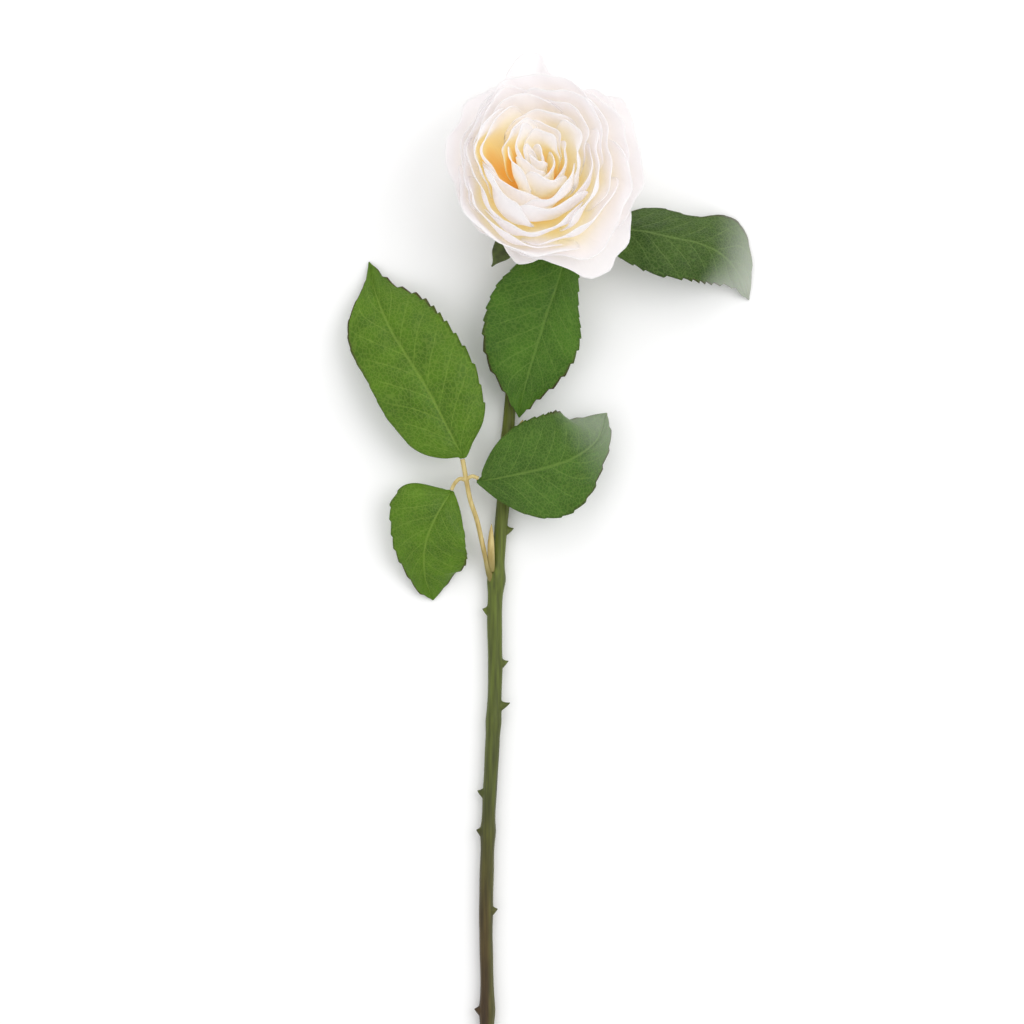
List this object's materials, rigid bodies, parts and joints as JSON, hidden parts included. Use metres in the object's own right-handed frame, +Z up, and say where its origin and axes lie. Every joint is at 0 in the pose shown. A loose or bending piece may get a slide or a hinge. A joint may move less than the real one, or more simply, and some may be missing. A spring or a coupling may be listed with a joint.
{
  "type": "cut rose",
  "caption": "Cut garden rose lying on its back: thorned stem, compound leaf, single leaves under the bloom, and a full cupped cream-white bloom turned up.",
  "frame": {"origin": "centre of the bounding box, on the surface the rose lies on", "axes": "+Y along the stem from the cut end to the bloom, +Z up from the surface it lies on, towards which the bloom opens, +X to the right when looking down with the bloom away"},
  "size_m": [0.1682, 0.4182, 0.0739],
  "materials": {
    "petal": "matte cream-white, warmer towards the foot",
    "stem": "satin green bark, browner towards the cut end",
    "stalk": "satin tan-green",
    "leaf": "satin deep green with paler veins",
    "hip": "satin olive green"
  },
  "bodies": {
    "root": {"stem": "stem", "hip": "hip", "sepal_1": "hip", "sepal_2": "hip", "sepal_3": "hip", "sepal_4": "hip", "sepal_5": "hip", "petal_1_1": "petal", "petal_1_2": "petal", "petal_1_3": "petal", "petal_2_1": "petal", "petal_2_2": "petal", "petal_2_3": "petal", "petal_2_4": "petal", "petal_3_1": "petal", "petal_3_2": "petal", "petal_3_3": "petal", "petal_3_4": "petal", "petal_3_5": "petal", "petal_4_1": "petal", "petal_4_2": "petal", "petal_4_3": "petal", "petal_4_4": "petal", "petal_4_5": "petal", "petal_5_1": "petal", "petal_5_2": "petal", "petal_5_3": "petal", "petal_5_4": "petal", "petal_5_5": "petal", "petal_5_6": "petal", "petal_6_1": "petal", "petal_6_2": "petal", "petal_6_3": "petal", "petal_6_4": "petal", "petal_6_5": "petal", "petal_7_1": "petal", "petal_7_2": "petal", "petal_7_3": "petal", "petal_7_4": "petal", "petal_7_5": "petal", "petal_8_1": "petal", "petal_8_2": "petal", "petal_8_3": "petal", "petal_8_4": "petal", "petal_9_1": "petal", "petal_9_2": "petal", "petal_9_3": "petal", "petal_9_4": "petal", "petal_9_5": "petal", "rachis": "stalk", "front_stalk": "stalk", "right_stalk": "stalk", "terminal_leaflet": "leaf", "small_leaflet": "leaf", "right_leaflet": "leaf", "front_leaf": "leaf", "right_leaf": "leaf", "axil_bud": "stalk", "upper_bud": "stalk"}
  },
  "joints": []
}
